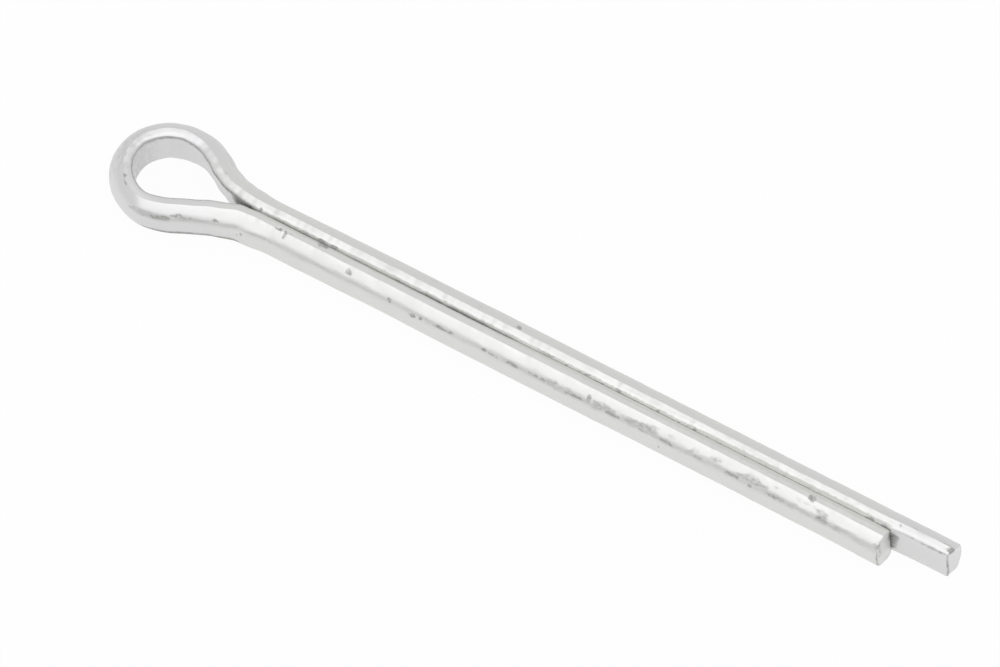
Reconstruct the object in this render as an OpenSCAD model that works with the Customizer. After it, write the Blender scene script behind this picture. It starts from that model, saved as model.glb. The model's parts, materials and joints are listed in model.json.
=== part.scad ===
// Split cotter pin with one leg longer than the other.
//
// It is one length of half-round wire, folded flat side to flat side: a rounded
// eye, a neck on each side of it, and two straight legs that lie together as a
// round shank. The wire never touches itself, and it is a hair thinner where it
// was bent, most of all in the tight bend at the front of the eye.
//
// +X runs along the shank towards the cut ends, the long leg is on the +Y side,
// and +Z stands square to the plane that the wire is folded in. The origin is on
// the shank's axis, where both legs have become straight.

/* [Shank] */
// Diameter over both legs together
shank_d = 4.5; // [3.8:0.1:5.4]
// Gap between the flat sides of the legs
split_gap = 0.15; // [0.1:0.05:0.4]
// Angle that the round side of a leg reaches, up and down from its middle
round_reach = 68.5; // [66:0.5:72]
// Slope of the narrow band that runs from there down to the flat side
band_slope = 4; // [1:1:12]
// Rounding between the band and the flat side
edge_r = 0.4; // [0.2:0.05:0.45]
// How much the wire thins all round in a gentle bend, and twice over in the eye's front
thinning = 0.02; // [0.01:0.01:0.05]
// Straight length of the short leg, from the origin to its cut end
short_leg = 61.8; // [30:0.1:90]
// How far the long leg reaches past the short one
leg_extra = 5.3; // [2:0.1:10]

/* [Eye] */
// Radius inside the front of the eye
eye_r = 2.9; // [2.5:0.1:3.5]
// How far the eye's centre lies off the shank's axis, on the short leg's side
eye_offset = 0.2; // [0:0.05:0.4]

/* [Long leg's side of the eye] */
// Angle that the front bend turns through before the flank begins
long_front_turn = 83; // [78:1:98]
// Radius inside the flank, where the eye starts to close
long_flank_r = 5.6; // [4.5:0.1:9]
// Straight run between the flank and the neck
long_run = 1.6; // [0.5:0.1:4]
// Radius of the neck bend, along the flat side of the wire
long_neck_r = 5.7; // [4:0.1:8]

/* [Short leg's side of the eye] */
// Angle that the front bend turns through before the flank begins
short_front_turn = 104; // [92:1:108]
// Radius inside the flank, where the eye starts to close
short_flank_r = 10.1; // [7:0.1:13]
// Straight run between the flank and the neck
short_run = 4.5; // [0.5:0.1:6]
// Radius of the neck bend, along the flat side of the wire
short_neck_r = 5.3; // [4:0.1:8]

/* [Hidden] */
$fn = 128;
half_gap = split_gap / 2;
shank_r = shank_d / 2;
// Height at which the bands would meet the flat side if they weren't rounded into it
band_z = shank_r * sin(round_reach) - (shank_r * cos(round_reach) - half_gap) * tan(band_slope);
// Centre of that rounding, out from the flat side and up from the middle
edge_centre = [edge_r, band_z + edge_r * (tan(band_slope) - 1 / cos(band_slope))];
// Each thinner bend reaches this far into the thicker wire next to it
lap = 0.15;
zinc = [0.80, 0.81, 0.82];

// Each side of the pin is described by
// [front turn, flank radius, run, neck radius, eye centre's offset to that side].
long_side = [long_front_turn, long_flank_r, long_run, long_neck_r, -eye_offset];
short_side = [short_front_turn, short_flank_r, short_run, short_neck_r, eye_offset];

// Slope of the run, chosen so that the neck brings the flat side down to half
// the gap off the axis
function slope(s) =
    let(bends = s[1] + s[3])
    let(drop = half_gap + s[3] + (s[1] - eye_r) * sin(s[0]) - s[4])
    acos(drop / norm([bends, s[2]])) - atan2(s[2], bends);

// Distance along the shank from the eye's centre to the end of the neck
function neck_reach(s) =
    (s[1] - eye_r) * cos(s[0]) + (s[1] + s[3]) * sin(slope(s)) + s[2] * cos(slope(s));

// The eye's centre lies this far behind the origin
eye_x = max(neck_reach(long_side), neck_reach(short_side));

// Angle of a bend of radius r that is as long as the lap
function lap_turn(r) = lap / r * 180 / PI;

// Height of the band above the middle of the wire, x out from the flat side,
// where the wire is thinned
function band_height(x, thin) = band_z + x * tan(band_slope) - thin / cos(band_slope);

// Cross-section of the wire: flat side on the Y axis, round side towards +X, a
// narrow band between them above and below, thinned by the same amount all round
module wire_section(thin) {
    difference() {
        intersection() {
            translate([-half_gap, 0]) circle(r = shank_r - thin);
            polygon([
                for (x = [thin, shank_d]) [x, band_height(x, thin)],
                for (x = [shank_d, thin]) [x, -band_height(x, thin)]
            ]);
        }
        for (side = [0, 1]) mirror([0, side]) translate(edge_centre) edge_waste(edge_r - thin);
    }
}

// What the rounding of radius r takes off between the flat side and a band
module edge_waste(r) {
    reach = 2 * edge_r;
    difference() {
        polygon([
            [0, 0],
            [-reach, 0],
            [-reach, reach],
            [-reach * sin(band_slope), reach * cos(band_slope)]
        ]);
        circle(r = r);
    }
}

// Wire bent around its flat side, which is r from the centre of the bend
module bend_over_flat(r, from, to, thin) {
    rotate(from) rotate_extrude(angle = to - from) translate([r, 0]) wire_section(thin);
}

// Wire bent the other way, with its round side towards the centre of the bend
module bend_over_round(r, from, to, thin) {
    rotate(from) rotate_extrude(angle = to - from)
        translate([r, 0]) mirror([1, 0]) wire_section(thin);
}

// Straight wire that starts at a point of the flat side and slopes down
module straight(start, down, length) {
    translate(start) rotate(-down) rotate([90, 0, 90]) linear_extrude(length) wire_section(0);
}

// The tight bend at the front of the eye, which both sides of the eye run on from
module eye_front() {
    more = lap_turn(eye_r);
    translate([-eye_x, -eye_offset])
        bend_over_flat(eye_r, 180 - long_front_turn - more, 180 + short_front_turn + more,
                       2 * thinning);
}

// One side of the pin: flank, run, neck, and a leg that ends at x = tip
module side_and_leg(s, tip) {
    slope = slope(s);
    flank_centre = [-eye_x, s[4]] + (eye_r - s[1]) * [-cos(s[0]), sin(s[0])];
    run_start = flank_centre + s[1] * [sin(slope), cos(slope)];
    run_end = run_start + s[2] * [cos(slope), -sin(slope)];
    neck_centre = run_end + s[3] * [sin(slope), cos(slope)];
    neck_end = [neck_centre[0], half_gap];

    translate(flank_centre)
        bend_over_flat(s[1], 90 - slope - lap_turn(s[1]), 180 - s[0], thinning);
    straight(run_start, slope, s[2]);
    translate(neck_centre)
        bend_over_round(s[3], 270 - slope - lap_turn(s[3]), 270 + lap_turn(s[3]), thinning);
    straight(neck_end, 0, tip - neck_end[0]);
}

module cotter_pin() {
    color(zinc) {
        eye_front();
        side_and_leg(long_side, short_leg + leg_extra);
        mirror([0, 1]) side_and_leg(short_side, short_leg);
    }
}

cotter_pin();
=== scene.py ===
import json
import math
import bpy
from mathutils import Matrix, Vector, noise


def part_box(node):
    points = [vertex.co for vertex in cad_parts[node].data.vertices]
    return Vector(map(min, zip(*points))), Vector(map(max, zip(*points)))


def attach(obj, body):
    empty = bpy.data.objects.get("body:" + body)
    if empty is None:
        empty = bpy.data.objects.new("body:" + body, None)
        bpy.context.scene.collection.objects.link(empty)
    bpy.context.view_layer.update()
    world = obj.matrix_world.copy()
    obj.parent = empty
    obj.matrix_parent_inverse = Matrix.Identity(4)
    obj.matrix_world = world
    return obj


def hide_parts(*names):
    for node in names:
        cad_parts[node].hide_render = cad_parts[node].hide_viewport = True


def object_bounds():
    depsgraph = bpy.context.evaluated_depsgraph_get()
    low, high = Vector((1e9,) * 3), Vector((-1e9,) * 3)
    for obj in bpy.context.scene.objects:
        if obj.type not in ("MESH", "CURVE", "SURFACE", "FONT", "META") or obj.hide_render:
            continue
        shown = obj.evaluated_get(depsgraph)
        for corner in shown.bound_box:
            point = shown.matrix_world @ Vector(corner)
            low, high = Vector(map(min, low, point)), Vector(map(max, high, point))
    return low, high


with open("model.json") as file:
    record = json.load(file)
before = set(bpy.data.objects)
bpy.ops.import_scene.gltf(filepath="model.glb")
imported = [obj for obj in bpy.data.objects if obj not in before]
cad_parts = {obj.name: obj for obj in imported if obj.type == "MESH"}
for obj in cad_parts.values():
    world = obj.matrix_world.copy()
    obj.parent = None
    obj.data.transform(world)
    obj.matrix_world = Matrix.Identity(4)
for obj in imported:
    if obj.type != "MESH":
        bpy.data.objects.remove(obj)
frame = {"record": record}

cadLow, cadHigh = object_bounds()
mounts = {mount["name"]: mount for mount in frame["record"]["mounts"]}
shankRadius = mounts["shank"]["dims"]["r_mm"] / 1000
eyeCentre = Vector(mounts["eye"]["pos_m"])
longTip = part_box("cotter_pin")[1].x
print("frame loaded, the pin is %.1f mm long" % ((cadHigh.x - cadLow.x) * 1000))

# one length of half-round wire, swept from the short leg's cut end round the eye
# to the long leg's cut end; lengths in metres, angles in degrees
wire = {
    "halfGap": 0.000075,      # from the shank's axis to each flat side
    "roundReach": 67.3,       # how far round the round side goes, up and down
    "bandSlope": 6,           # of the narrow band between round side and flat side
    "edgeRadius": 0.0004,     # where the band rolls over into the flat side
    "edgeSegments": 6,
    "legExtra": 0.0053,       # the long leg past the short one
    "eyeRadius": 0.0029,
    "circlePoints": 96,       # round a whole circle, of which the section keeps a part
    "flatCuts": 18,
    "bandCuts": 2,
    "bandLeast": 0.0002,      # only a band's edge of the section reaches this far outwards
    "ringStep": 0.000146,     # along the wire
    "legParts": 5,            # each leg is drawn out in parts, and these divided into rings
    "partLeast": 0.01,        # only a part's edge reaches this far along
    "endLength": 0.0009,      # left undivided at the cut ends, for their bevels
    "endBevel": 0.00018,
    "endSegments": 3,
    "endMiddle": 0.001,       # middle of a cut end's face, out from the shank's axis
    "endRings": (0.75, 0.6, 0.4),   # each one smaller than the last, across the cut ends
    "creaseAngle": 20,
    "onPlane": 1e-6,          # a point this close to a plane counts as lying on it
    "cutThreshold": 1e-7,
    "mergeDistance": 0.000003,
}
# each side of the eye: how far the front bend turns, then flank, run and neck
longSide = {"turn": 83, "flankRadius": 0.0056, "run": 0.0016, "neckRadius": 0.0057,
            "out": -eyeCentre.y, "hand": 1}
shortSide = {"turn": 104, "flankRadius": 0.0101, "run": 0.0045, "neckRadius": 0.0053,
             "out": eyeCentre.y, "hand": -1}


def slopeOf(side):
    # slope of the run, so that the neck brings the flat side down to the gap
    bends = side["flankRadius"] + side["neckRadius"]
    drop = wire["halfGap"] + side["neckRadius"] + side["out"]
    drop += (side["flankRadius"] - wire["eyeRadius"]) * math.sin(math.radians(side["turn"]))
    return math.acos(drop / math.hypot(bends, side["run"])) - math.atan2(side["run"], bends)


def runDirection(side):
    slope = slopeOf(side)
    return Vector((math.cos(slope), -side["hand"] * math.sin(slope), 0))


def runOutward(side):
    slope = slopeOf(side)
    return Vector((math.sin(slope), side["hand"] * math.cos(slope), 0))


def flankCentre(side):
    turn = math.radians(side["turn"])
    back = wire["eyeRadius"] - side["flankRadius"]
    return eyeCentre + back * Vector((-math.cos(turn), side["hand"] * math.sin(turn), 0))


def runStart(side):
    return flankCentre(side) + side["flankRadius"] * runOutward(side)


def neckCentre(side):
    # straight out from where the leg becomes straight
    runEnd = runStart(side) + side["run"] * runDirection(side)
    return runEnd + side["neckRadius"] * runOutward(side)


def selectPoints(mesh, test):
    # picks points in edit mode by their place, and drops everything else
    bpy.ops.mesh.select_mode(type="VERT")
    bpy.ops.mesh.select_all(action="DESELECT")
    bpy.ops.object.mode_set(mode="OBJECT")
    for point in mesh.vertices:
        point.select = test(point.co)
    bpy.ops.object.mode_set(mode="EDIT")


def selectEdges(mesh, test):
    bpy.ops.mesh.select_mode(type="EDGE")
    bpy.ops.mesh.select_all(action="DESELECT")
    bpy.ops.object.mode_set(mode="OBJECT")
    for edge in mesh.edges:
        first, second = edge.vertices
        edge.select = test(mesh.vertices[first].co, mesh.vertices[second].co)
    bpy.ops.object.mode_set(mode="EDIT")


def onShortFlat(co):
    return abs(co.y + wire["halfGap"]) < wire["onPlane"]


def cutSection(place, outward):
    bpy.ops.mesh.select_all(action="SELECT")
    bpy.ops.mesh.bisect(plane_co=place, plane_no=outward, clear_outer=True,
                        threshold=wire["cutThreshold"])


def wireSection(tip):
    # the short leg's half-round section, standing at its cut end
    bpy.ops.mesh.primitive_circle_add(vertices=wire["circlePoints"], radius=shankRadius,
                                      fill_type="NGON", location=(tip, 0, 0),
                                      rotation=(0, math.pi / 2, 0))
    piece = bpy.context.object
    bpy.ops.object.transform_apply(location=True, rotation=True, scale=True)
    reach = math.radians(wire["roundReach"])
    slope = math.radians(wire["bandSlope"])
    creaseY = -shankRadius * math.cos(reach)
    creaseZ = shankRadius * math.sin(reach)
    bpy.ops.object.mode_set(mode="EDIT")
    cutSection((tip, -wire["halfGap"], 0), (0, 1, 0))
    for up in (1, -1):
        cutSection((tip, creaseY, up * creaseZ), (0, math.sin(slope), up * math.cos(slope)))
    # roll the two corners over, leave the outline alone, and divide its long edges
    selectPoints(piece.data, onShortFlat)
    cornerLength = wire["edgeRadius"] * math.tan((math.pi / 2 - slope) / 2)
    bpy.ops.mesh.bevel(offset_type="OFFSET", offset=cornerLength, segments=wire["edgeSegments"],
                       profile=0.5, affect="VERTICES")
    bpy.ops.mesh.select_all(action="SELECT")
    bpy.ops.mesh.delete(type="ONLY_FACE")
    selectPoints(piece.data, onShortFlat)
    bpy.ops.mesh.subdivide(number_cuts=wire["flatCuts"])
    selectEdges(piece.data, lambda a, b: a.z * b.z > 0 and abs(a.y - b.y) > wire["bandLeast"])
    bpy.ops.mesh.subdivide(number_cuts=wire["bandCuts"])
    bpy.ops.object.mode_set(mode="OBJECT")
    print("section has %d points" % len(piece.data.vertices))
    return piece


def sweepBend(centre, radius, angle):
    steps = max(2, round(abs(angle) * (radius + shankRadius / 2) / wire["ringStep"]))
    bpy.ops.mesh.spin(steps=steps, angle=-angle, center=centre, axis=(0, 0, 1))


def sweepFlank(side):
    angle = math.radians(side["turn"] - 90) - slopeOf(side)
    sweepBend(flankCentre(side), side["flankRadius"], angle)


def sweepLine(offset, steps):
    bpy.ops.mesh.extrude_repeat(steps=steps, offset=offset / steps)


def sweepRun(side, forwards):
    steps = max(1, round(side["run"] / wire["ringStep"]))
    sweepLine(forwards * runDirection(side) * side["run"], steps)


def closeEnd(piece, tip, leg):
    # closes a cut end, rolls its edge over and divides its face
    def atEnd(a, b):
        return min(a.x, b.x) > tip - wire["onPlane"] and a.y * leg > 0 and b.y * leg > 0

    selectEdges(piece.data, atEnd)
    bpy.ops.mesh.edge_face_add()
    bpy.ops.mesh.select_all(action="SELECT")
    bpy.ops.mesh.normals_make_consistent(inside=False)
    selectEdges(piece.data, atEnd)
    bpy.ops.mesh.bevel(offset_type="OFFSET", offset=wire["endBevel"], profile=0.5,
                       segments=wire["endSegments"], affect="EDGES", clamp_overlap=False)
    selectEdges(piece.data, atEnd)
    bpy.ops.mesh.select_mode(type="FACE")
    middle = (tip, leg * wire["endMiddle"], 0)
    for share in wire["endRings"]:
        bpy.ops.mesh.extrude_region()
        bpy.ops.transform.resize(value=(1, share, share), center_override=middle)
    bpy.ops.mesh.poke()


def sweepWire():
    shortTip = longTip - wire["legExtra"]
    piece = wireSection(shortTip)
    bpy.ops.object.mode_set(mode="EDIT")
    bpy.ops.mesh.select_mode(type="EDGE")
    bpy.ops.mesh.select_all(action="SELECT")

    ahead = Vector((1, 0, 0))
    shortNeck, longNeck = neckCentre(shortSide), neckCentre(longSide)
    shortLeg = shortTip - shortNeck.x - wire["endLength"]
    longLeg = longTip - longNeck.x - wire["endLength"]
    sweepLine(-ahead * wire["endLength"], 1)
    sweepLine(-ahead * shortLeg, wire["legParts"])
    sweepBend(shortNeck, shortSide["neckRadius"], slopeOf(shortSide))
    sweepRun(shortSide, -1)
    sweepFlank(shortSide)
    sweepBend(eyeCentre, wire["eyeRadius"], -math.radians(shortSide["turn"] + longSide["turn"]))
    sweepFlank(longSide)
    sweepRun(longSide, 1)
    sweepBend(longNeck, longSide["neckRadius"], slopeOf(longSide))
    sweepLine(ahead * longLeg, wire["legParts"])
    sweepLine(ahead * wire["endLength"], 1)
    print("wire swept")

    selectEdges(piece.data, lambda a, b: abs(a.x - b.x) > wire["partLeast"])
    bpy.ops.mesh.subdivide(number_cuts=round(longLeg / wire["legParts"] / wire["ringStep"]) - 1)
    bpy.ops.mesh.select_all(action="SELECT")
    bpy.ops.mesh.remove_doubles(threshold=wire["mergeDistance"])
    closeEnd(piece, shortTip, -1)
    closeEnd(piece, longTip, 1)
    bpy.ops.mesh.select_all(action="SELECT")
    bpy.ops.mesh.normals_make_consistent(inside=False)
    bpy.ops.object.mode_set(mode="OBJECT")
    print("wire closed, %d faces" % len(piece.data.polygons))
    return piece


def flat(offset):
    return Vector((offset.x, offset.y, 0))


def alongWire(co):
    # where a point of the pin lies on the straight wire: along it from the middle of
    # the eye's front, out from its flat side, and which way out is there; the way along
    # is positive towards the long leg, and negative towards the short one
    parting = 0 if co.x > eyeCentre.x + wire["eyeRadius"] else eyeCentre.y
    side = longSide if co.y > parting else shortSide
    hand = side["hand"]
    turn, slope = math.radians(side["turn"]), slopeOf(side)
    centre = neckCentre(side)
    if co.x > centre.x:
        length = turn * wire["eyeRadius"] + (math.pi / 2 + slope - turn) * side["flankRadius"]
        length += side["run"] + slope * side["neckRadius"]
        along = hand * (length + co.x - centre.x)
        return along, hand * co.y - wire["halfGap"], Vector((0, hand, 0))
    away = flat(co - eyeCentre)
    angle = math.atan2(hand * away.y, -away.x)
    if 0 <= angle <= turn:
        along = hand * angle * wire["eyeRadius"]
        return along, away.length - wire["eyeRadius"], away.normalized()
    length = turn * wire["eyeRadius"]
    away = flat(co - flankCentre(side))
    angle = math.atan2(hand * away.y, -away.x)
    if angle <= math.pi / 2 + slope:
        length += (angle - turn) * side["flankRadius"]
        return hand * length, away.length - side["flankRadius"], away.normalized()
    length += (math.pi / 2 + slope - turn) * side["flankRadius"]
    away = flat(co - runStart(side))
    outward = runOutward(side)
    ahead = away.dot(runDirection(side))
    if ahead <= side["run"]:
        return hand * (length + ahead), away.dot(outward), outward
    length += side["run"]
    away = flat(centre - co)
    angle = math.atan2(away.x, hand * away.y)
    length += (slope - angle) * side["neckRadius"]
    return hand * length, side["neckRadius"] - away.length, away.normalized()


# how the bent wire differs from an even one; from here to the marks lengths are in
# millimetres, most pairs of numbers say from where to where something grows or lies,
# and three numbers are a pattern's length, width and seed
shape = {
    "lumpRise": 0.018, "lumps": (1.8, 0.8, 0),
    "gritRise": 0.0035, "grit": (0.55, 0.35, 11), "grittier": 3.2, "grittierFrom": (26, 40),
    "waveRise": 0.02, "waves": (7, 3, 23),
    # the creases between the round side and the bands wander up and down
    "creaseLength": 1.6, "creaseFiner": 3, "creaseFineShare": 0.6, "creaseSeeds": (3, 7),
    "creaseApart": 5, "creaseUp": (1.7, 1.95), "creaseOut": (0.85, 1.4),
    "eyeCrease": 0.025, "legCrease": 0.05, "legCreaseFrom": (-1, 2),
    # the legs' flat sides stay together, with hardly a gap, until the long one runs free
    "straightFrom": (-1, 1), "flatOut": (0.3, 1.5), "freeFrom": (60, 64),
    "closing": 0.138, "closedFrom": (-1.2, 1.2),
    # the necks' inner sides lie a little apart, and their outer sides bulge
    "parting": 0.07, "partedAlong": (-6.5, 0), "partedOut": (0.5, 2),
    "nearParting": 0.24, "nearPartedFrom": (-4, -1.6), "nearPartedTo": (-0.6, 1),
    "nearPartedOut": (0.5, 1.8),
    "farBulge": 0.1, "nearBulge": 0.38, "bulgeAlong": (-4.4, 3.2), "bulgeOut": (0.5, 1.8),
    # the edges are rolled over more by the necks, and less towards the cut ends
    "rolling": 0.03, "rolledAlong": (-1.5, 9.5), "rolledOut": (0, 0.6), "rolledUp": (1, 1.6),
    "filling": 0.15, "filledFrom": (20, 32), "filledTo": (60, 61.7), "filledOut": (0, 0.2),
    "filledUp": (1.4, 1.66),
    "twistedAbout": 1,        # out from the flat side
    # the cut ends stand askew and are drawn out below, and the short leg is cut back
    "longSlant": 0.34, "longSlantUp": (-1.5, 1.6), "longSlantOut": (0, 1.2),
    "shortSlant": 0.2, "shortSlantOut": (0, 1.4), "shortSlantLeast": 0.3, "shortCut": 0.15,
    "stretch": 0.28, "stretchDown": (-1, 1.9), "longStretchOut": (0.3, 1.4),
    "shortStretchOut": (0.3, 1.2), "shortStretchLeast": 0.7, "shortStretchMore": 0.5,
}
# where the wire was bent out (+) or in (-) of its course, and how far it is twisted;
# the place along the wire comes first
offsets = [
    (-75.7, 0.19), (-70, 0.08), (-60, 0.04), (-45, 0.1), (-33, 0.1), (-28, 0.03), (-17.2, 0.1),
    (-15.3, 0), (-12.8, -0.12), (-10.5, -0.09), (-8.4, 0.05), (-6.2, 0.12), (-4.8, 0.08),
    (-3.2, -0.07), (-1, -0.03), (0.8, -0.08), (2.2, -0.15), (3.7, -0.1), (4.6, 0.02), (6.3, 0.13),
    (7.5, 0.04), (8.7, -0.03), (9.9, 0.1), (11.8, 0.17), (13.2, 0.05), (15, -0.12), (17, -0.06),
    (22, 0), (30, 0.06), (72, 0.04), (82, 0.035),
]
twists = [
    (-16, 0), (-13, 0.04), (-10, 0), (-6.2, 0), (-3.8, -0.08), (-1.5, 0), (4, 0), (7.3, 0.1),
    (10, 0.13), (13, 0.06), (15.2, 0),
]
# pale dust and plating salts in the groove between the legs: how far out it lies thick,
# and over how much more it thins out
dust = {
    "from": (-3, -1), "to": (60.6, 62),
    "farWidth": 0.01, "farWider": 0.1, "farWiderFrom": (41, 46),
    "farFade": 0.24, "farSofter": 0.13, "farSofterFrom": (6, 11),
    "nearWidth": 0.08, "nearWider": 0.12,
    "nearFade": 0.34, "nearSofter": 0.24, "nearSofterFrom": (27, 35),
    "ragged": 0.05, "clumps": (0.8, 0.5, 31), "nicks": (0.3, 1, 37),
}
# dull wear and painted shade: how strong each kind is, and where it lies
grimeAndShade = {
    # streaks rubbed dull along the short leg's upper side
    "rubbed": 0.52, "streaks": (1.6, 0.45, 51), "streakEdge": (-0.35, 0.35),
    "rubbedFrom": (12, 34), "rubbedOut": (1.1, 2.2), "rubbedWider": 0.3, "widerFrom": (30, 45),
    # painted dark reflection along the upper rim inside the eye
    "lip": 0.4, "lipUneven": 0.5, "lipSpots": (0.7, 0.5, 61), "lipAlong": (-4.5, 13),
    "lipOut": (-0.15, 0.2), "lipUp": (1.4, 1.6),
    # painted dark reflection low on the outside of the short leg's side of the eye
    "underside": 1, "undersideFrom": (-15, -12), "undersideTo": (-5.5, -4),
    "undersideOut": (1.5, 1.8), "undersideUp": (-1.5, 0.05),
    # painted shade all round the front bend
    "front": 0.28, "frontAlong": (-6, 6),
    # a painted dark line along the long leg's edge where the necks meet, and painted deep shade below
    # it
    "edge": 0.6, "edgeFrom": (-9, -3), "edgeTo": (0, 1), "edgeOut": (0.06, 0.2),
    "edgeUp": (1.45, 1.65),
    "shade": 1.2, "shadeFrom": (-3.4, -0.5), "shadeTo": (-0.3, 0.6), "shadeOut": (0.03, 0.15),
    "shadeUp": (-0.5, 0.5),
    # painted contact shadow on the long leg's flat side, behind the short leg's cut end
    "contactShadow": 1.5, "contactShadowFrom": 60.3, "contactShadowTo": (61.3, 62.8), "contactShadowOut": 0.3,
    "contactShadowTop": (1, 1.5), "contactShadowBottom": (-1.5, -1.1), "contactShadowLeast": 0.75,
    "contactShadowDarkerUp": (-0.6, 0.7),
    # painted shade along the split line, and dark specks of it further on
    "grooveShadeUp": 1.2,
    "split": 0.78, "splitSpots": (0.9, 1, 67), "splitFrom": (8, 11), "splitTo": (24, 28),
    "splitEnd": 27, "splitMost": (12, 29), "splitLeast": 0.4, "splitOut": (0.02, 0.24),
    "specks": 0.95, "speckSpots": (0.4, 0.3, 71), "speckEdge": (0.05, 0.35),
    "specksFrom": (24, 30), "specksEnd": 61.5, "speckOut": (-0.15, 0.3),
    "specksFewer": 0.5, "specksFewerFrom": (41, 46),
    # painted dark reflection on the rims of the cut ends, paler on the long leg's outer part and the
    # short leg's top
    "rim": 0.55, "rimUneven": 0.25, "rimSpots": (0.7, 0.7, 47), "rimFrom": (-0.22, -0.1),
    "rimWidth": (0.12, 0.26), "bandHeight": 2.06, "rimPaler": 0.6,
    "longRimPalerOut": (0.2, 0.9), "shortRimPalerUp": (0.6, 1.4),
}

# scuffs, pits and flecks, and two painted dark reflections: place, length along the wire, width, depth,
# and how dull they are;
# a negative depth stands proud
marks = [
    ((3.1, -0.85, 2.05), 0.5, 0.15, 0.03, 0.8), ((3.75, -0.98, 2.0), 0.17, 0.35, 0.03, 0.8),
    ((4.2, -0.75, 2.06), 0.3, 0.12, 0.02, 0.5),
    ((10.3, -1.37, 1.79), 0.4, 0.36, 0.05, 0.55), ((9.6, -1.15, 1.9), 0.6, 0.2, -0.03, 0),
    ((54.6, -0.78, 2.06), 0.44, 0.34, 0.05, 0.75), ((-8.3, -4.85, 1.3), 0.9, 0.3, 0.02, 0.4),
    ((-11.2, -2.9, 2.08), 0.2, 0.16, 0.02, 0.7), ((-10.8, -3.4, 2.03), 0.3, 0.16, 0.02, 0.7),
    ((-6.8, -4.55, 1.25), 0.7, 0.25, 0.03, 0.75), ((-6.1, -4.29, 1.25), 0.4, 0.2, 0.02, 0.6),
    ((-5.4, -3.76, 1.48), 0.7, 0.2, 0.03, 0.6), ((-4.5, -3.61, 1.34), 1.1, 0.18, 0.02, 0.55),
    ((-2.3, -2.55, 1.42), 0.5, 0.2, 0.03, 0.7),
    ((-3.73, 1.8, 2.08), 0.35, 0.25, 0.02, 0.4), ((-4.0, 3.18, 1.12), 0.4, 0.3, 0.02, 0.3),
    ((-0.3, -2.22, 0.44), 0.2, 0.22, 0.03, 0.5), ((0.1, -2.13, 0.72), 0.2, 0.25, 0.03, 0.5),
    ((0.7, 0.2, 1.94), 0.16, 0.3, 0.02, 0.75), ((2.4, 0.1, 1.85), 1.2, 0.18, 0, 0.36),
    ((5.1, 0.17, 1.88), 1.4, 0.24, 0, 0.4), ((7.2, -0.3, 1.93), 0.65, 0.36, 0.02, 0.75),
    ((6.8, 0.12, 1.87), 0.7, 0.25, 0.02, 0.8), ((8.1, 0.15, 1.9), 0.5, 0.2, 0, 0.7),
    ((14.6, -1.79, 1.37), 0.3, 0.25, 0.03, 0.75), ((16.9, -1.95, 1.12), 0.4, 0.2, 0.02, 0.7),
    ((17.7, -1.87, 1.25), 0.3, 0.2, 0.02, 0.7),
    ((20.0, -1.83, 1.3), 1.3, 0.14, 0.02, 0.8), ((23.9, -1.83, 1.3), 0.4, 0.13, 0.02, 0.85),
    ((24.8, -1.86, 1.27), 0.5, 0.12, 0.02, 0.7), ((26.6, -1.83, 1.3), 0.8, 0.13, 0.02, 0.75),
    ((29, -1.83, 1.3), 1.7, 0.12, 0.02, 0.6), ((32.6, -1.85, 1.28), 1.2, 0.14, 0.02, 0.75),
    ((33.9, -1.6, 1.58), 0.3, 0.4, 0.03, 0.6), ((25.6, 1.12, 1.95), 0.3, 0.22, 0.03, 0.7),
    ((17.1, 1.5, 1.68), 0.5, 0.15, 0.02, 0.4), ((21.5, 1.25, 1.87), 0.5, 0.13, 0.02, 0.4),
    ((36.3, -1.82, 1.32), 1.0, 0.2, 0.02, 0.7), ((39.2, -1.87, 1.25), 0.5, 0.18, 0.02, 0.6),
    ((41.4, -1.85, 1.28), 0.8, 0.2, 0.03, 0.7), ((44.5, -1.83, 1.3), 0.6, 0.16, 0.02, 0.5),
    ((47.6, -1.83, 1.3), 0.8, 0.2, 0.03, 0.7), ((49.4, -1.88, 1.22), 0.25, 0.2, 0.02, 0.7),
    ((51.8, -1.85, 1.28), 0.9, 0.22, 0.03, 0.65), ((56.0, -1.8, 1.35), 0.8, 0.25, 0.03, 0.6),
    ((57.6, -1.85, 1.28), 0.5, 0.2, 0.02, 0.5), ((40.9, -2.2, 0.5), 0.15, 0.15, 0.02, 0.7),
    ((62.1, 0.67, 2.05), 0.2, 0.14, 0.02, 0.55), ((63.3, 1.0, 2.02), 0.3, 0.12, 0.02, 0.45),
    ((59.6, 0.12, 1.8), 0.5, 0.25, 0.02, 0.8), ((60.9, 0.12, 1.8), 0.3, 0.25, 0.02, 0.8),
    ((60.2, 0.3, 2.0), 0.4, 0.25, -0.03, 0),
    # these two, with no depth, are a painted dark reflection along the rolled edge of the long leg's
    # free end
    ((65.3, 0.12, 1.82), 1.4, 0.15, 0, 0.5), ((63.3, 0.12, 1.84), 0.6, 0.12, 0, 0.38),
    ((67.0, 0.7, 1.95), 0.3, 0.4, 0.14, 0.85), ((66.2, 1.0, 2.02), 0.6, 0.14, 0.03, 0.5),
]
# how uneven the marks' outlines are, and how soon their inside is fully dull
ragged = {"much": 0.6, "spots": (0.35, 0.25, 43), "dullEdge": (0, 0.5)}


def ramp(value, low, high):
    part = min(1, max(0, (value - low) / (high - low)))
    return part * part * (3 - 2 * part)


def fall(value, low, high):
    return 1 - ramp(value, low, high)


def hump(value, low, high):
    middle = (low + high) / 2
    return ramp(value, low, middle) * fall(value, middle, high)


def roughly(along, out, height, length, width, seed):
    return noise.noise(Vector((along / length, out / width + seed, height / width - seed)))


def between(pairs, value):
    for (low, first), (high, second) in zip(pairs, pairs[1:]):
        if low <= value < high:
            return first + (second - first) * ramp(value, low, high)
    return 0


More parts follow.
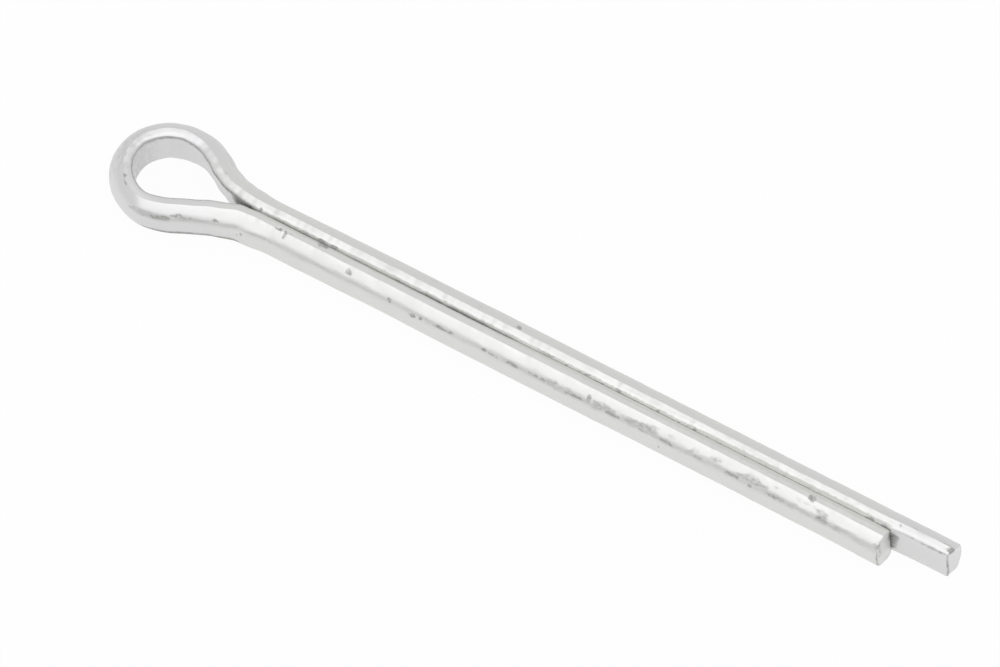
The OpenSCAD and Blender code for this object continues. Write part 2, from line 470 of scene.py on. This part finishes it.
def surfaceRise(x, along, out, height):
    grittier = 1 + shape["grittier"] * ramp(x, *shape["grittierFrom"])
    rise = shape["lumpRise"] * roughly(along, out, height, *shape["lumps"])
    rise += shape["gritRise"] * grittier * roughly(along, out, height, *shape["grit"])
    return rise + shape["waveRise"] * roughly(along, out, height, *shape["waves"])


def creaseWander(x, along, out, height, up):
    atCrease = ramp(up * height, *shape["creaseUp"]) * fall(out, *shape["creaseOut"])
    place, apart = along / shape["creaseLength"], up * shape["creaseApart"]
    first, second = shape["creaseSeeds"]
    wander = noise.noise(Vector((place, apart, first)))
    fine = noise.noise(Vector((place * shape["creaseFiner"], apart, second)))
    wander += shape["creaseFineShare"] * fine
    more = (shape["legCrease"] - shape["eyeCrease"]) * ramp(x, *shape["legCreaseFrom"])
    return up * wander * (shape["eyeCrease"] + more) * atCrease


def bentShape(x, far, along, out, height, up):
    # how far a point of the section is moved out and up
    twist = between(twists, along)
    onFlat = fall(out, *shape["flatOut"])
    if far:
        onFlat *= fall(x, *shape["freeFrom"])
    moveOut = between(offsets, along) * (1 - onFlat * ramp(x, *shape["straightFrom"]))
    moveOut -= twist * height
    moveOut += shape["parting"] * hump(x, *shape["partedAlong"]) * fall(out, *shape["partedOut"])
    if far:
        moveOut -= shape["closing"] * ramp(x, *shape["closedFrom"]) * onFlat
        bulge = shape["farBulge"]
    else:
        parted = ramp(x, *shape["nearPartedFrom"]) * fall(x, *shape["nearPartedTo"])
        moveOut += shape["nearParting"] * parted * fall(out, *shape["nearPartedOut"])
        bulge = shape["nearBulge"]
    moveOut += bulge * hump(x, *shape["bulgeAlong"]) * ramp(out, *shape["bulgeOut"])
    rolled = hump(x, *shape["rolledAlong"]) * fall(out, *shape["rolledOut"])
    moveOut += shape["rolling"] * rolled * ramp(up * height, *shape["rolledUp"])
    filled = ramp(x, *shape["filledFrom"]) * fall(x, *shape["filledTo"])
    filled *= fall(out, *shape["filledOut"]) * ramp(up * height, *shape["filledUp"])
    moveUp = twist * (out - shape["twistedAbout"]) + up * shape["filling"] * filled
    return moveOut, moveUp


def endMove(far, out, height):
    # how far the end of a leg is moved along
    below = shape["stretch"] * ramp(-height, *shape["stretchDown"])
    if far:
        slant = ramp(height, *shape["longSlantUp"]) * fall(out, *shape["longSlantOut"])
        return below * ramp(out, *shape["longStretchOut"]) - shape["longSlant"] * slant
    least = shape["shortSlantLeast"]
    slant = max(height, 0) * (least + (1 - least) * ramp(out, *shape["shortSlantOut"]))
    more = shape["shortStretchMore"] * fall(out, *shape["shortStretchOut"])
    below *= shape["shortStretchLeast"] + more
    return below - shape["shortSlant"] * slant - shape["shortCut"]


def dustShare(x, far, along, out, height):
    if far:
        edge = dust["farWidth"] + dust["farWider"] * ramp(x, *dust["farWiderFrom"])
        fade = dust["farFade"] + dust["farSofter"] * ramp(x, *dust["farSofterFrom"])
    else:
        edge = dust["nearWidth"] + dust["nearWider"] * hump(x, *shape["rolledAlong"])
        fade = dust["nearFade"] + dust["nearSofter"] * ramp(x, *dust["nearSofterFrom"])
    uneven = roughly(along, 0, height, *dust["clumps"]) + roughly(along, 0, 0, *dust["nicks"])
    edge += dust["ragged"] * uneven
    return fall(out, edge, edge + fade) * ramp(x, *dust["from"]) * fall(x, *dust["to"])


# painted shade and dark reflections on the eye: the front bend, a line low on the outside, and the
# upper inner rim
def eyeShade(along, out, height):
    front = grimeAndShade["front"] * hump(along, *grimeAndShade["frontAlong"])
    under = ramp(along, *grimeAndShade["undersideFrom"]) * fall(along, *grimeAndShade["undersideTo"])
    under *= hump(height, *grimeAndShade["undersideUp"]) * ramp(out, *grimeAndShade["undersideOut"])
    lipFrom, lipTo = grimeAndShade["lipAlong"]
    lip = 0
    if lipFrom < along < lipTo:
        uneven = 1 + grimeAndShade["lipUneven"] * roughly(along, 0, height, *grimeAndShade["lipSpots"])
        lip = hump(out, *grimeAndShade["lipOut"]) * ramp(height, *grimeAndShade["lipUp"]) * uneven
    return max(front, grimeAndShade["underside"] * under, grimeAndShade["lip"] * lip)


def shortLegGrime(x, along, out, height):
    if height <= 0:
        return 0
    inner, outer = grimeAndShade["rubbedOut"]
    inner -= grimeAndShade["rubbedWider"] * ramp(x, *grimeAndShade["widerFrom"])
    rubbed = ramp(roughly(along, 0, height, *grimeAndShade["streaks"]), *grimeAndShade["streakEdge"])
    return grimeAndShade["rubbed"] * rubbed * hump(out, inner, outer) * ramp(x, *grimeAndShade["rubbedFrom"])


# painted shade where the necks meet, a painted contact shadow behind the short leg's cut end, and dark
# specks of painted shade near the split
def longLegShade(x, along, out, height):
    edge = ramp(x, *grimeAndShade["edgeFrom"]) * fall(x, *grimeAndShade["edgeTo"])
    edge *= ramp(height, *grimeAndShade["edgeUp"]) * fall(out, *grimeAndShade["edgeOut"])
    shade = ramp(x, *grimeAndShade["shadeFrom"]) * fall(x, *grimeAndShade["shadeTo"])
    shade *= ramp(height, *grimeAndShade["shadeUp"]) * fall(out, *grimeAndShade["shadeOut"])
    contactShadow = speck = 0
    if out < grimeAndShade["contactShadowOut"] and x > grimeAndShade["contactShadowFrom"]:
        least = grimeAndShade["contactShadowLeast"]
        contactShadow = least + (1 - least) * ramp(height, *grimeAndShade["contactShadowDarkerUp"])
        contactShadow *= fall(height, *grimeAndShade["contactShadowTop"]) * ramp(height, *grimeAndShade["contactShadowBottom"])
        contactShadow *= fall(x, *grimeAndShade["contactShadowTo"])
    if height > grimeAndShade["grooveShadeUp"] and x < grimeAndShade["specksEnd"]:
        speck = ramp(roughly(along, out, height, *grimeAndShade["speckSpots"]), *grimeAndShade["speckEdge"])
        speck *= ramp(x, *grimeAndShade["specksFrom"]) * hump(out, *grimeAndShade["speckOut"])
        speck *= 1 - grimeAndShade["specksFewer"] * ramp(x, *grimeAndShade["specksFewerFrom"])
    return max(grimeAndShade["edge"] * edge, grimeAndShade["shade"] * shade, grimeAndShade["contactShadow"] * contactShadow,
               grimeAndShade["specks"] * speck)


# painted shade along the split line between the legs
def splitShade(x, along, out, height):
    if height <= grimeAndShade["grooveShadeUp"] or x >= grimeAndShade["splitEnd"]:
        return 0
    least = grimeAndShade["splitLeast"]
    split = least + (1 - least) * hump(x, *grimeAndShade["splitMost"])
    split *= ramp(x, *grimeAndShade["splitFrom"]) * fall(x, *grimeAndShade["splitTo"])
    split *= fall(out, *grimeAndShade["splitOut"])
    return grimeAndShade["split"] * split * (1 + roughly(along, 0, 0, *grimeAndShade["splitSpots"]))


# painted dark reflection on the rims of the cut ends
def rimShade(co, fromEnd, far, along, out, height, up):
    # inside tells how far a point of the cut end's face lies from its rim
    fromAxis = math.hypot(co.y, co.z)
    inside = min((shankRadius - fromAxis) * 1000, out, grimeAndShade["bandHeight"] - up * height)
    rim = ramp(fromEnd, *grimeAndShade["rimFrom"]) * fall(inside, *grimeAndShade["rimWidth"])
    rim *= grimeAndShade["rim"] + grimeAndShade["rimUneven"] * roughly(along, out, height, *grimeAndShade["rimSpots"])
    if far:
        return rim * (1 - grimeAndShade["rimPaler"] * ramp(out, *grimeAndShade["longRimPalerOut"]))
    return rim * (1 - grimeAndShade["rimPaler"] * ramp(height, *grimeAndShade["shortRimPalerUp"]))


def pressMark(piece, places, normals, mark):
    place, length, width, depth, dull = mark
    along, out, outward = alongWire(Vector(place) / 1000)
    middle = Vector((along * 1000, out * 1000, place[2]))
    wornAndShaded = piece.data.attributes["wornAndShaded"].data
    for point, where, normal in zip(piece.data.vertices, places, normals):
        if abs(where[0] - middle.x) > 2 * length:
            continue
        off = Vector(where) - middle
        away = (off.x / length) ** 2 + (off.y ** 2 + off.z ** 2) / width ** 2
        away += ragged["much"] * roughly(*where, *ragged["spots"])
        if away < 1:
            point.co -= normal * depth / 1000 * (1 - away) ** 2
            share = dull * ramp(1 - away, *ragged["dullEdge"])
            wornAndShaded[point.index].value = max(wornAndShaded[point.index].value, share)


def wearWire(piece):
    shortEnd, longEnd = (longTip - wire["legExtra"]) * 1000, longTip * 1000
    endLength = wire["endLength"] * 1000
    places, directions, normals = [], [], []
    for point in piece.data.vertices:
        along, out, outward = alongWire(point.co)
        places.append((along * 1000, out * 1000, point.co.z * 1000))
        directions.append(outward)
        normals.append(point.normal.copy())
    for name, kind in (("straight", "FLOAT_VECTOR"), ("wornAndShaded", "FLOAT"), ("dusty", "FLOAT")):
        piece.data.attributes.new(name, kind, "POINT")
    straight, wornAndShaded, dusty = [piece.data.attributes[name].data for name in ("straight", "wornAndShaded", "dusty")]

    for point, place, outward, normal in zip(piece.data.vertices, places, directions, normals):
        along, out, height = place
        x, far, up = point.co.x * 1000, along > 0, 1 if height > 0 else -1
        moveOut, moveUp = bentShape(x, far, along, out, height, up)
        move = normal * surfaceRise(x, along, out, height) + outward * moveOut
        move.z += moveUp + creaseWander(x, along, out, height, up)
        # real wear and marks together with painted shade, kept as one value per point
        legWearAndShade = (longLegShade if far else shortLegGrime)(x, along, out, height)
        wearAndShade = max(eyeShade(along, out, height), legWearAndShade, splitShade(x, along, out, height))
        fromEnd = x - (longEnd if far else shortEnd)
        if fromEnd > -endLength:
            move.x += endMove(far, out, height) * (1 + fromEnd / endLength)
            rim = rimShade(point.co, fromEnd, far, along, out, height, up)
            wearAndShade = max(wearAndShade, rim)
        straight[point.index].vector = Vector(place) / 1000
        wornAndShaded[point.index].value = wearAndShade
        dusty[point.index].value = dustShare(x, far, along, out, height)
        point.co += move / 1000

    for mark in marks:
        pressMark(piece, places, normals, mark)
    print("wire worn, %d marks" % len(marks))


bpy.ops.object.select_all(action="DESELECT")
pin = sweepWire()
pin.name = "pin_wire"

bpy.ops.object.shade_smooth_by_angle(angle=math.radians(wire["creaseAngle"]))
wearWire(pin)

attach(pin, "root")
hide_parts("cotter_pin")

# bright zinc: faintly mottled and tinted, dull grey where it is worn and where shade is painted, near
# black in the deepest painted shade, pale dust in the groove; lengths in metres again
finish = {
    "warm": (0.755, 0.757, 0.739), "cool": (0.742, 0.74, 0.75),
    "dull": (0.36, 0.36, 0.345), "black": (0.1, 0.1, 0.096), "dust": (0.6, 0.605, 0.575),
    "gloss": (0.27, 0.36), "dullRough": 0.6, "dustRough": 0.75,
    "dullMetal": 0.2, "dustMetal": 0.1,
    # each pattern: how fine it is per metre, its stretch along the wire, and its detail
    "mottle": (350, 0.6, 4), "glossPattern": (875, 0.5, 5), "fleck": (4500, 0.6, 3),
    "peel": (2600, 0.5, 3), "brush": (9000, 0.04, 2),
    "peelDepth": 0.000012, "brushDepth": 0.000002,
    "patternRange": (0.35, 0.65), "fleckRange": (0.3, 0.7), "fleckShare": (0.6, 1.4),
    # how much wear, painted shade and dust it takes to begin to show, and to show in full
    "dullFrom": (0.2, 0.75), "blackFrom": (1, 1.6), "dustFrom": (0.15, 0.6),
    # the legs are tinted warmer, apart from the long leg's tip
    "legsFrom": (0.008, 0.014), "tipFrom": (0.0742, 0.0765), "legWarmth": 0.75,
    "mottleWarmth": (-0.25, 0.5),
}
material = bpy.data.materials.new("zinc")
material.use_nodes = True
nodes, links = material.node_tree.nodes, material.node_tree.links
shader = nodes["Principled BSDF"]


def plug(value, slot):
    # links a socket, or sets a plain value
    if isinstance(value, bpy.types.NodeSocket):
        links.new(value, slot)
    else:
        slot.default_value = value


def stored(name, output):
    node = nodes.new("ShaderNodeAttribute")
    node.attribute_name = name
    return node.outputs[output]


def pattern(across, along, detail):
    # noise on the place along the wire, drawn out along it
    mapping = nodes.new("ShaderNodeMapping")
    mapping.inputs["Scale"].default_value = (across * along, across, across)
    links.new(wirePlace, mapping.inputs["Vector"])
    texture = nodes.new("ShaderNodeTexNoise")
    texture.inputs["Scale"].default_value = 1
    texture.inputs["Detail"].default_value = detail
    links.new(mapping.outputs["Vector"], texture.inputs["Vector"])
    return texture.outputs["Fac"]


def spread(value, inRange, outRange):
    node = nodes.new("ShaderNodeMapRange")
    names = ("From Min", "From Max", "To Min", "To Max")
    for name, limit in zip(names, (*inRange, *outRange)):
        node.inputs[name].default_value = limit
    links.new(value, node.inputs["Value"])
    return node.outputs["Result"]


def maths(operation, *values):
    node = nodes.new("ShaderNodeMath")
    node.operation = operation
    for value, slot in zip(values, node.inputs):
        plug(value, slot)
    return node.outputs[0]


def mix(kind, share, first, second):
    node = nodes.new("ShaderNodeMix")
    node.data_type = kind
    firstSlot, secondSlot = {"FLOAT": (2, 3), "RGBA": (6, 7)}[kind]
    plug(first, node.inputs[firstSlot])
    plug(second, node.inputs[secondSlot])
    plug(share, node.inputs[0])
    return node.outputs[{"FLOAT": 0, "RGBA": 2}[kind]]


def bump(depth, height):
    node = nodes.new("ShaderNodeBump")
    node.inputs["Distance"].default_value = depth
    links.new(height, node.inputs["Height"])
    return node


wirePlace = stored("straight", "Vector")
flecks = spread(pattern(*finish["fleck"]), finish["fleckRange"], finish["fleckShare"])
flecked = maths("MULTIPLY", stored("wornAndShaded", "Fac"), flecks)
# dull grey for wear and painted shade, black for the deepest painted shade and the darkest pits
dulledAndShaded = spread(flecked, finish["dullFrom"], (0, 1))
deepShadeAndPits = spread(flecked, finish["blackFrom"], (0, 1))
dusted = spread(maths("MULTIPLY", stored("dusty", "Fac"), flecks), finish["dustFrom"], (0, 1))

wireParts = nodes.new("ShaderNodeSeparateXYZ")
links.new(wirePlace, wireParts.inputs[0])
fromFront = maths("ABSOLUTE", wireParts.outputs["X"])
onLegs = spread(fromFront, finish["legsFrom"], (0, finish["legWarmth"]))
notOnTip = spread(wireParts.outputs["X"], finish["tipFrom"], (1, 0))
mottle = spread(pattern(*finish["mottle"]), finish["patternRange"], finish["mottleWarmth"])
warmth = maths("ADD", maths("MULTIPLY", onLegs, notOnTip), mottle)

colour = mix("RGBA", warmth, (*finish["cool"], 1), (*finish["warm"], 1))
colour = mix("RGBA", dusted, colour, (*finish["dust"], 1))
colour = mix("RGBA", dulledAndShaded, colour, (*finish["dull"], 1))
colour = mix("RGBA", deepShadeAndPits, colour, (*finish["black"], 1))
links.new(colour, shader.inputs["Base Color"])
bareAndShaded = spread(dulledAndShaded, (0, 1), (1, finish["dullMetal"]))
clean = spread(dusted, (0, 1), (1, finish["dustMetal"]))
links.new(maths("MULTIPLY", bareAndShaded, clean), shader.inputs["Metallic"])
gloss = spread(pattern(*finish["glossPattern"]), finish["patternRange"], finish["gloss"])
gloss = mix("FLOAT", dusted, gloss, finish["dustRough"])
gloss = mix("FLOAT", dulledAndShaded, gloss, finish["dullRough"])
links.new(gloss, shader.inputs["Roughness"])
peel = bump(finish["peelDepth"], pattern(*finish["peel"]))
brush = bump(finish["brushDepth"], pattern(*finish["brush"]))
links.new(peel.outputs["Normal"], brush.inputs["Normal"])
links.new(brush.outputs["Normal"], shader.inputs["Normal"])
pin.data.materials.append(material)
print("zinc mixed")

# plain pale paper; what the camera sees of it is nearly white, and keeps a soft shadow,
# and the pin mirrors it brighter on its near side
paper = {
    "size": 4, "colour": 0.82, "seenWhite": 0.955,
    "nearToFar": (0.003, 0.006), "mirroredWhite": (0.7, 0.1),
}
bpy.ops.mesh.primitive_plane_add(size=paper["size"], location=(0, 0, cadLow.z))
floor = bpy.context.object
floor.name = "floor"
paperMaterial = bpy.data.materials.new("paper")
paperMaterial.use_nodes = True
nodes, links = paperMaterial.node_tree.nodes, paperMaterial.node_tree.links
paperShader = nodes["Principled BSDF"]
paperShader.inputs["Base Color"].default_value = (*[paper["colour"]] * 3, 1)
paperShader.inputs["Roughness"].default_value = 1
paperShader.inputs["Specular IOR Level"].default_value = 0
white = nodes.new("ShaderNodeEmission")
white.inputs["Strength"].default_value = 1
rayKind = nodes.new("ShaderNodeLightPath")
paperPlace = nodes.new("ShaderNodeTexCoord")
paperParts = nodes.new("ShaderNodeSeparateXYZ")
links.new(paperPlace.outputs["Object"], paperParts.inputs[0])
seen = maths("MULTIPLY", rayKind.outputs["Is Camera Ray"], paper["seenWhite"])
mirrored = spread(paperParts.outputs["Y"], paper["nearToFar"], paper["mirroredWhite"])
whiteness = maths("MULTIPLY_ADD", rayKind.outputs["Is Glossy Ray"], mirrored, seen)
paperMix = nodes.new("ShaderNodeMixShader")
links.new(whiteness, paperMix.inputs[0])
links.new(paperShader.outputs[0], paperMix.inputs[1])
links.new(white.outputs[0], paperMix.inputs[2])
links.new(paperMix.outputs[0], nodes["Material Output"].inputs["Surface"])
floor.data.materials.append(paperMaterial)

# the room: pale grey all round, with a dark gap low down on the near side; the gap's
# limits are in degrees above the floor, and in shares of the way near and to the right
room = {"wall": 0.82, "gap": 0.4, "gapTop": 11, "gapSoft": 3, "gapNear": (-0.45, -0.15),
        "gapEnd": -0.255, "gapEndSoft": 0.022}
world = bpy.data.worlds.new("studio")
bpy.context.scene.world = world
world.use_nodes = True
nodes, links = world.node_tree.nodes, world.node_tree.links
background = nodes["Background"]
roomPlace = nodes.new("ShaderNodeTexCoord")
roomParts = nodes.new("ShaderNodeSeparateXYZ")
links.new(roomPlace.outputs["Generated"], roomParts.inputs[0])
gapTops = [math.sin(math.radians(room["gapTop"] + side * room["gapSoft"])) for side in (-1, 1)]
gapEnds = [room["gapEnd"] - side * room["gapEndSoft"] for side in (-1, 1)]
above = spread(roomParts.outputs["Z"], gapTops, (0, 1))
beyond = spread(roomParts.outputs["Y"], room["gapNear"], (0, 1))
leftwards = spread(roomParts.outputs["X"], gapEnds, (0, 1))
lit = maths("MAXIMUM", maths("MAXIMUM", above, beyond), leftwards)
links.new(spread(lit, (0, 1), (room["gap"], room["wall"])), background.inputs["Strength"])
background.inputs["Color"].default_value = (1, 1, 1, 1)

# a large softbox on the near side, and a fainter one that lights only its upper part more
softboxes = [
    {"location": (0.11, -0.23, 0.515), "size": (0.78, 1.13), "energy": 1.15},
    {"location": (0.11, -0.015, 0.56), "size": (0.78, 0.49), "energy": 0.12},
]
for softbox in softboxes:
    bpy.ops.object.light_add(type="AREA", location=softbox["location"])
    light = bpy.context.object
    light.data.shape = "RECTANGLE"
    light.data.size, light.data.size_y = softbox["size"]
    light.data.energy = softbox["energy"]
    aim = Vector((softbox["location"][0], 0, 0)) - light.location
    light.rotation_euler = aim.to_track_quat("-Z", "Y").to_euler()
print("studio set")

view = {
    "azimuth": 29.744, "elevation": 62.31, "distance": 0.38203, "aim": (0.02395, 0.0007, 0),
    "lens": 161.87, "sensor": 36, "clip": 0.01,
}
bpy.ops.object.camera_add()
camera = bpy.context.object
azimuth, elevation = math.radians(view["azimuth"]), math.radians(view["elevation"])
toCamera = Vector((math.sin(azimuth) * math.cos(elevation), -math.cos(azimuth) * math.cos(elevation),
                   math.sin(elevation)))
camera.location = Vector(view["aim"]) + toCamera * view["distance"]
camera.rotation_euler = (-toCamera).to_track_quat("-Z", "Y").to_euler()
camera.data.lens = view["lens"]
camera.data.sensor_width = view["sensor"]
camera.data.clip_start = view["clip"]
bpy.context.scene.camera = camera
bpy.context.scene.view_settings.view_transform = "Standard"
